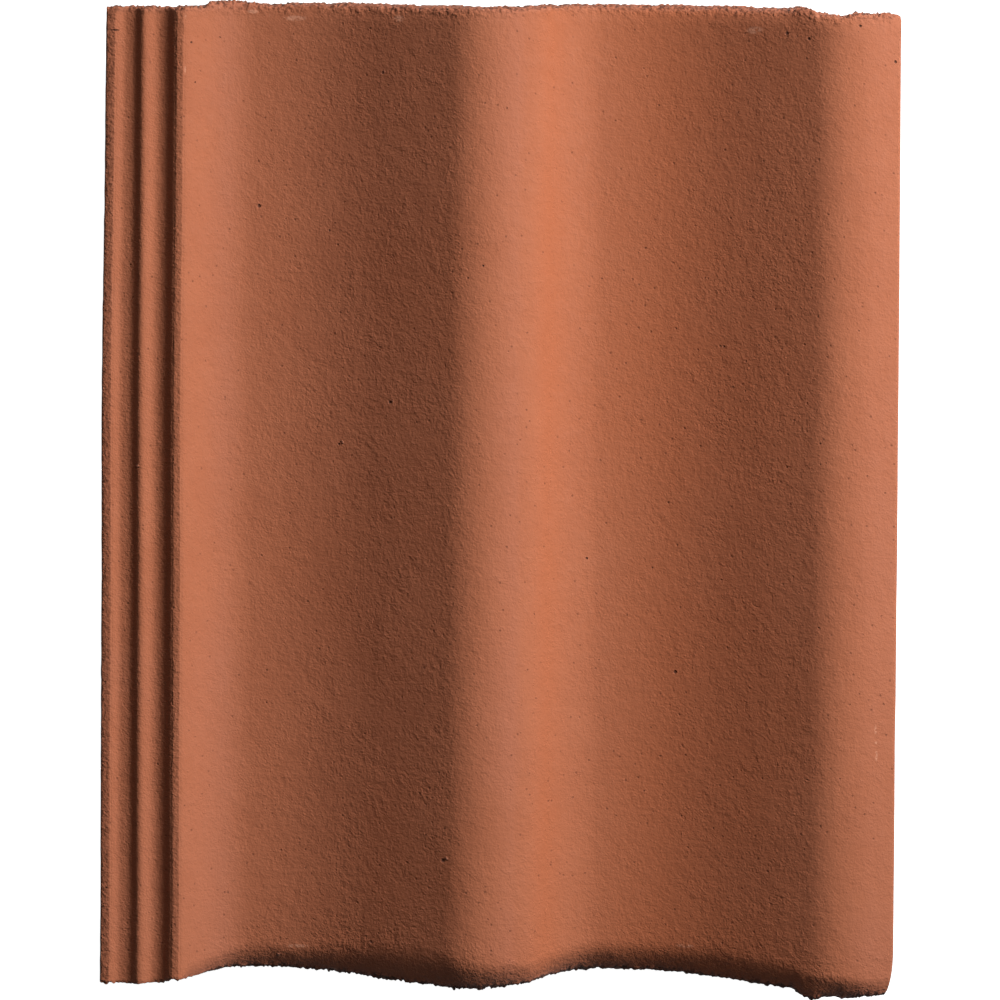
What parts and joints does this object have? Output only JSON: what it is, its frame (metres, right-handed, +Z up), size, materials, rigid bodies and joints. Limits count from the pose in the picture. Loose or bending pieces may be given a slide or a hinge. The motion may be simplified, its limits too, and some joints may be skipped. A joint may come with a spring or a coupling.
{
  "type": "concrete roof tile",
  "caption": "Interlocking concrete roof tile with S-shaped waves, a ribbed underlock on the left, a covering roll on the right and hanging nibs below",
  "frame": {"origin": "centre of the tile's box on the floor it rests on", "axes": "+Y to the head, -X to the underlock, +Z up; the tile lies on its nib feet and the lower edge of its nose, so its plane rises 2.26 degrees toward the head"},
  "size_m": [0.334, 0.42, 0.0537],
  "materials": {
    "coated_concrete": "matt terracotta-red slurry coat over sandy concrete, bare and crumbly on the cut edges"
  },
  "bodies": {
    "root": {"roof_tile": "coated_concrete"}
  },
  "joints": []
}
